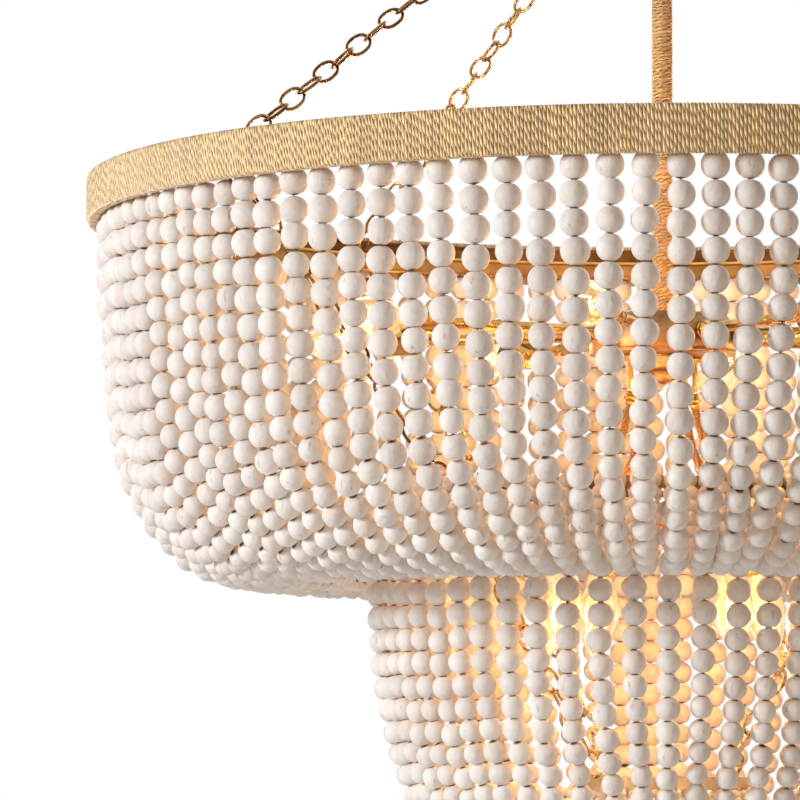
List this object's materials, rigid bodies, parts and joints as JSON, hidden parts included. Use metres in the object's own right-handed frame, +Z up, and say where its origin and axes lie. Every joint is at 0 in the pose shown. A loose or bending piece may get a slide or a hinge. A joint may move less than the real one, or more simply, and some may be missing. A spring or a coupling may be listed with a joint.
{
  "type": "beaded chandelier",
  "caption": "Tiered beaded chandelier: a cord-wound hoop on chains, draped wooden bead strings between metal rings, and a brass hub of candle lamps inside.",
  "frame": {"origin": "middle of the ceiling plate's top face, against the ceiling", "axes": "+Z up, out of the ceiling plate; -Y towards the viewer in the picture; +X to the viewer's right"},
  "size_m": [0.914, 0.914, 0.9331],
  "materials": {
    "brass": "aged satin brass",
    "bronze": "dark antique bronze with rubbed edges",
    "steel": "zinc-plated",
    "cord": "twisted straw cord, matt",
    "bead_wood": "white-washed wood, matt",
    "bulb_glass": "clear polished glass with a lit filament"
  },
  "bodies": {
    "ceiling": {"ceiling_bracket": "steel", "canopy": "brass", "canopy_screw_1": "brass", "canopy_screw_2": "brass", "swivel_yoke": "steel"},
    "swivel": {"swivel_cross": "steel"},
    "stem": {"swivel_fork": "brass", "stem_tube": "brass", "stem_wrap": "cord", "chain_collar": "brass", "lamp_hub": "brass", "lamp_arm_1": "brass", "lamp_arm_2": "brass", "lamp_arm_3": "brass", "lamp_arm_4": "brass", "lamp_arm_5": "brass", "lamp_arm_6": "brass", "lamp_arm_7": "brass", "lamp_arm_8": "brass", "lower_lamp_arm_1": "brass", "lower_lamp_arm_2": "brass", "lower_lamp_arm_3": "brass", "lower_lamp_arm_4": "brass"},
    "chain_ring": {"chain_ring": "bronze"},
    "shade": {"top_hoop": "brass", "hoop_wrap": "cord", "middle_ring": "brass", "bottom_ring": "brass", "upper_chain_1": "bronze", "upper_chain_2": "bronze", "upper_chain_3": "bronze", "upper_chain_4": "bronze", "middle_chain_1": "bronze", "middle_chain_2": "bronze", "middle_chain_3": "bronze", "middle_chain_4": "bronze", "lower_chain_1": "brass", "lower_chain_2": "brass", "lower_chain_3": "brass", "lower_chain_4": "brass", "upper_strands_1": "bead_wood", "upper_strands_2": "bead_wood", "upper_strands_3": "bead_wood", "upper_strands_4": "bead_wood", "lower_strands_1": "bead_wood", "lower_strands_2": "bead_wood", "lower_strands_3": "bead_wood", "lower_strands_4": "bead_wood"},
    "arm_bulb_1": {"arm_bulb_1": "bulb_glass"},
    "arm_bulb_2": {"arm_bulb_2": "bulb_glass"},
    "arm_bulb_3": {"arm_bulb_3": "bulb_glass"},
    "arm_bulb_4": {"arm_bulb_4": "bulb_glass"},
    "arm_bulb_5": {"arm_bulb_5": "bulb_glass"},
    "arm_bulb_6": {"arm_bulb_6": "bulb_glass"},
    "arm_bulb_7": {"arm_bulb_7": "bulb_glass"},
    "arm_bulb_8": {"arm_bulb_8": "bulb_glass"},
    "lower_bulb_1": {"lower_bulb_1": "bulb_glass"},
    "lower_bulb_2": {"lower_bulb_2": "bulb_glass"},
    "lower_bulb_3": {"lower_bulb_3": "bulb_glass"},
    "lower_bulb_4": {"lower_bulb_4": "bulb_glass"}
  },
  "joints": [
    {"name": "swivel_tilt_x", "type": "hinge", "parent": "ceiling", "child": "swivel", "pos_m": [0, 0, -0.018], "axis": [1, 0, 0], "range_deg": [-8, 8]},
    {"name": "swivel_tilt_y", "type": "hinge", "parent": "swivel", "child": "stem", "pos_m": [0, 0, -0.018], "axis": [0, 1, 0], "range_deg": [-8, 8]},
    {"name": "shade_turn", "type": "hinge", "parent": "stem", "child": "chain_ring", "pos_m": [0, 0, -0.105], "axis": [0, 0, 1], "continuous": true},
    {"name": "shade_swing", "type": "hinge", "parent": "chain_ring", "child": "shade", "pos_m": [0, 0, -0.105], "axis": [1, 0, 0], "range_deg": [-1.2, 1.2]},
    {"name": "arm_bulb_1_turn", "type": "hinge", "parent": "stem", "child": "arm_bulb_1", "pos_m": [-0.04886, -0.22987, -0.52075], "axis": [-0.2079, -0.9781, 0], "continuous": true},
    {"name": "arm_bulb_2_turn", "type": "hinge", "parent": "stem", "child": "arm_bulb_2", "pos_m": [0.12799, -0.19709, -0.52075], "axis": [0.5446, -0.8387, 0], "continuous": true},
    {"name": "arm_bulb_3_turn", "type": "hinge", "parent": "stem", "child": "arm_bulb_3", "pos_m": [0.22987, -0.04886, -0.52075], "axis": [0.9781, -0.2079, 0], "continuous": true},
    {"name": "arm_bulb_4_turn", "type": "hinge", "parent": "stem", "child": "arm_bulb_4", "pos_m": [0.19709, 0.12799, -0.52075], "axis": [0.8387, 0.5446, 0], "continuous": true},
    {"name": "arm_bulb_5_turn", "type": "hinge", "parent": "stem", "child": "arm_bulb_5", "pos_m": [0.04886, 0.22987, -0.52075], "axis": [0.2079, 0.9781, 0], "continuous": true},
    {"name": "arm_bulb_6_turn", "type": "hinge", "parent": "stem", "child": "arm_bulb_6", "pos_m": [-0.12799, 0.19709, -0.52075], "axis": [-0.5446, 0.8387, 0], "continuous": true},
    {"name": "arm_bulb_7_turn", "type": "hinge", "parent": "stem", "child": "arm_bulb_7", "pos_m": [-0.22987, 0.04886, -0.52075], "axis": [-0.9781, 0.2079, 0], "continuous": true},
    {"name": "arm_bulb_8_turn", "type": "hinge", "parent": "stem", "child": "arm_bulb_8", "pos_m": [-0.19709, -0.12799, -0.52075], "axis": [-0.8387, -0.5446, 0], "continuous": true},
    {"name": "lower_bulb_1_turn", "type": "hinge", "parent": "stem", "child": "lower_bulb_1", "pos_m": [-0.07426, -0.04823, -0.70834], "axis": [-0.2029, -0.1318, -0.9703], "continuous": true},
    {"name": "lower_bulb_2_turn", "type": "hinge", "parent": "stem", "child": "lower_bulb_2", "pos_m": [0.04823, -0.07426, -0.70834], "axis": [0.1318, -0.2029, -0.9703], "continuous": true},
    {"name": "lower_bulb_3_turn", "type": "hinge", "parent": "stem", "child": "lower_bulb_3", "pos_m": [0.07426, 0.04823, -0.70834], "axis": [0.2029, 0.1318, -0.9703], "continuous": true},
    {"name": "lower_bulb_4_turn", "type": "hinge", "parent": "stem", "child": "lower_bulb_4", "pos_m": [-0.04823, 0.07426, -0.70834], "axis": [-0.1318, 0.2029, -0.9703], "continuous": true}
  ]
}
